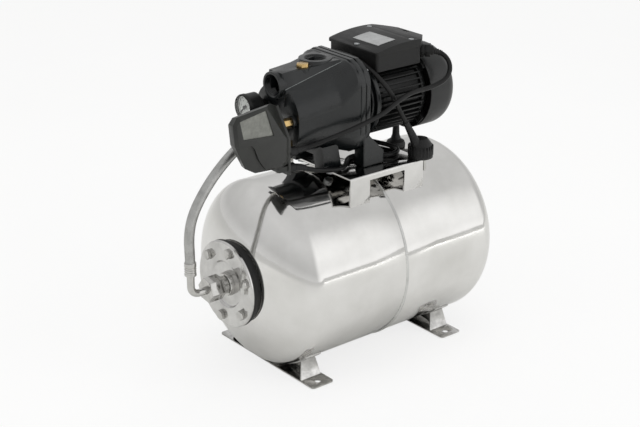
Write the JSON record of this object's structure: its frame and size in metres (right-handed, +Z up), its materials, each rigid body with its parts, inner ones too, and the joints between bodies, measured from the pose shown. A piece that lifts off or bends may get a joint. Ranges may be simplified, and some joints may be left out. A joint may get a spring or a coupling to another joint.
{
  "type": "booster pump set",
  "caption": "Self-priming jet pump with finned motor on a horizontal pressure tank, with a pressure switch, dial gauge, braided hose and mains lead.",
  "frame": {"origin": "centre of the four foot bolts, on the floor under the tank", "axes": "+Z up, X along the tank and motor axis with the flanged tank end and the suction port at -X, Y across"},
  "size_m": [0.5402, 0.2828, 0.4695],
  "materials": {
    "polished_stainless": "mirror polished",
    "bright_steel": "polished sheet",
    "zinc_plated": "zinc plated",
    "casing_paint": "satin black paint on cast iron",
    "motor_paint": "satin black paint on die-cast aluminium",
    "shaft_steel": "ground",
    "core_steel": "laminated",
    "brass": "machined",
    "black_plastic": "fine grained",
    "grey_plastic": "moulded",
    "fan_cover_paint": "semi-gloss",
    "label_metal": "matt, bare",
    "black_rubber": "matt",
    "chrome_plate": "plated",
    "steel_braid": "woven wire",
    "dial_white": "printed white, bare",
    "clear_glass": "clear",
    "carbon": "lapped"
  },
  "bodies": {
    "base": {"tank_front_shell": "polished_stainless", "tank_rear_shell": "polished_stainless", "tank_seam_bead": "polished_stainless", "tank_neck_ring": "bright_steel", "bladder": "black_rubber", "tank_flange": "polished_stainless", "flange_nipple": "bright_steel", "flange_bolts": "zinc_plated", "air_valve": "brass", "valve_cap": "black_plastic", "front_foot": "bright_steel", "rear_foot": "bright_steel", "pump_bracket": "polished_stainless", "pump_bolts": "zinc_plated", "pump_casing": "casing_paint", "lantern": "casing_paint", "casing_seal": "black_rubber", "casing_bolts": "zinc_plated", "ejector": "grey_plastic", "diffuser": "grey_plastic", "seal_seat": "grey_plastic", "bearings": "shaft_steel", "stator": "core_steel", "motor_frame": "motor_paint", "rear_shield": "motor_paint", "fan_cover": "fan_cover_paint", "terminal_box": "black_plastic", "terminal_lid": "black_plastic", "lid_screws": "zinc_plated", "label_plate": "label_metal", "capacitor": "grey_plastic", "box_gland": "black_plastic", "motor_foot": "black_rubber", "priming_plug": "brass", "drain_plug": "brass", "gauge_case": "black_plastic", "gauge_dial": "dial_white", "gauge_glass": "clear_glass", "switch_cover": "black_plastic", "switch_base": "zinc_plated", "switch_spring": "shaft_steel", "switch_cap": "grey_plastic", "switch_fitting": "brass", "switch_glands": "black_plastic", "braided_hose": "steel_braid", "hose_ferrules": "chrome_plate", "hose_elbow": "chrome_plate", "union_nut": "chrome_plate", "hose_tail": "chrome_plate", "motor_cable": "black_rubber", "mains_cable": "black_rubber", "plug_body": "black_plastic", "plug_pins": "chrome_plate"},
    "rotating_set": {"shaft": "shaft_steel", "rotor": "core_steel", "impeller": "brass", "fan": "black_plastic", "shaft_seal": "carbon"},
    "needle": {"gauge_needle": "black_plastic"},
    "lever": {"switch_lever": "zinc_plated"}
  },
  "joints": [
    {"name": "shaft_spin", "type": "hinge", "parent": "base", "child": "rotating_set", "pos_m": [0, 0, 0.382], "axis": [1, 0, 0], "continuous": true},
    {"name": "needle_turn", "type": "hinge", "parent": "base", "child": "needle", "pos_m": [-0.16, 0.024, 0.396], "axis": [1, 0, 0], "range_deg": [0, 270], "stiffness_Nm_per_rad": 0.0005, "springref_deg": -11.46},
    {"name": "lever_tilt", "type": "hinge", "parent": "base", "child": "lever", "pos_m": [-0.158, -0.035, 0.35], "axis": [0, -1, 0], "range_deg": [0, 4], "stiffness_Nm_per_rad": 2, "springref_deg": -2.86, "deforming": ["switch_spring"]}
  ]
}
